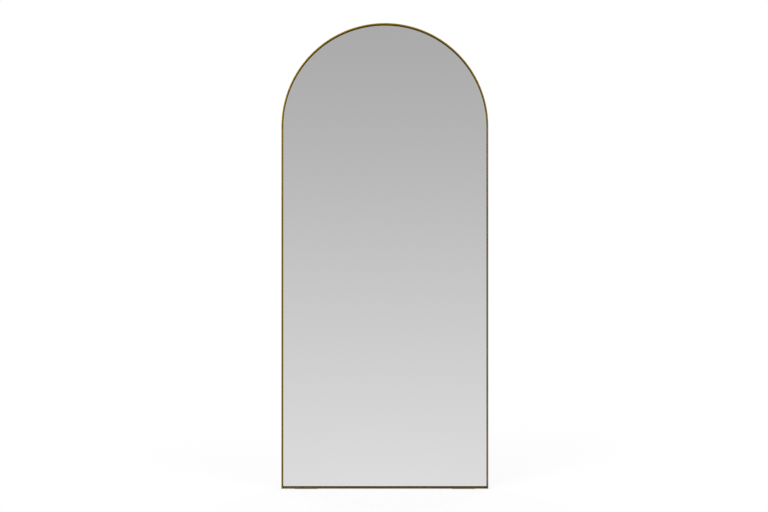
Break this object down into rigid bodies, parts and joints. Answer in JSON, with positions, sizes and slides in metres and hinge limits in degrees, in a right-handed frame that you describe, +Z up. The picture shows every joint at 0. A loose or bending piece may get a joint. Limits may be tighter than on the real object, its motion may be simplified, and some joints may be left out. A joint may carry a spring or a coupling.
{
  "type": "leaning floor mirror",
  "caption": "Arched leaning floor mirror: very thin antique-brass frame, recessed glass bonded to a black backing board, rear hangers with swinging D-rings, wall bumpers and floor pads.",
  "frame": {"origin": "on the floor under the middle of the mirror: the centre of the bounding box in X and Y, at its lowest Z, where the floor pads rest", "axes": "+Z up along the stiles, +X to the right of someone facing the glass, +Y from the glass towards the wall behind, so the glass faces -Y"},
  "size_m": [0.8, 0.0412, 1.8015],
  "materials": {
    "antique_brass": "dark antique brass plate, finely brushed",
    "mirror_glass": "clear silvered mirror",
    "safety_film": "smooth grey safety film",
    "mounting_tape": "white foam tape",
    "black_board": "fibreboard painted matt black",
    "black_rubber": "matt black rubber",
    "black_screw": "black oxide steel",
    "zinc_plate": "zinc-plated steel"
  },
  "bodies": {
    "mirror_body": {"frame_arch": "antique_brass", "left_stile": "antique_brass", "right_stile": "antique_brass", "bottom_rail": "antique_brass", "mirror_glass": "mirror_glass", "safety_film": "safety_film", "mounting_tape_1": "mounting_tape", "mounting_tape_2": "mounting_tape", "mounting_tape_3": "mounting_tape", "mounting_tape_4": "mounting_tape", "backing_board": "black_board", "left_setting_block": "black_rubber", "right_setting_block": "black_rubber", "board_screw_01": "black_screw", "board_screw_02": "black_screw", "board_screw_03": "black_screw", "board_screw_04": "black_screw", "board_screw_05": "black_screw", "board_screw_06": "black_screw", "board_screw_07": "black_screw", "board_screw_08": "black_screw", "board_screw_09": "black_screw", "board_screw_10": "black_screw", "board_screw_11": "black_screw", "board_screw_12": "black_screw", "board_screw_13": "black_screw", "board_screw_14": "black_screw", "board_screw_15": "black_screw", "board_screw_16": "black_screw", "left_hanger_strap": "zinc_plate", "left_hanger_screw_1": "black_screw", "left_hanger_screw_2": "black_screw", "right_hanger_strap": "zinc_plate", "right_hanger_screw_1": "black_screw", "right_hanger_screw_2": "black_screw", "upper_left_bumper": "black_rubber", "upper_right_bumper": "black_rubber", "lower_left_bumper": "black_rubber", "lower_right_bumper": "black_rubber", "left_floor_pad": "black_rubber", "right_floor_pad": "black_rubber"},
    "left_ring": {"left_hanger_ring": "zinc_plate"},
    "right_ring": {"right_hanger_ring": "zinc_plate"}
  },
  "joints": [
    {"name": "left_ring_swing", "type": "hinge", "parent": "mirror_body", "child": "left_ring", "pos_m": [-0.383, 0.0152, 1.35], "axis": [1, 0, 0], "range_deg": [0, 180]},
    {"name": "right_ring_swing", "type": "hinge", "parent": "mirror_body", "child": "right_ring", "pos_m": [0.383, 0.0152, 1.35], "axis": [1, 0, 0], "range_deg": [0, 180]}
  ]
}
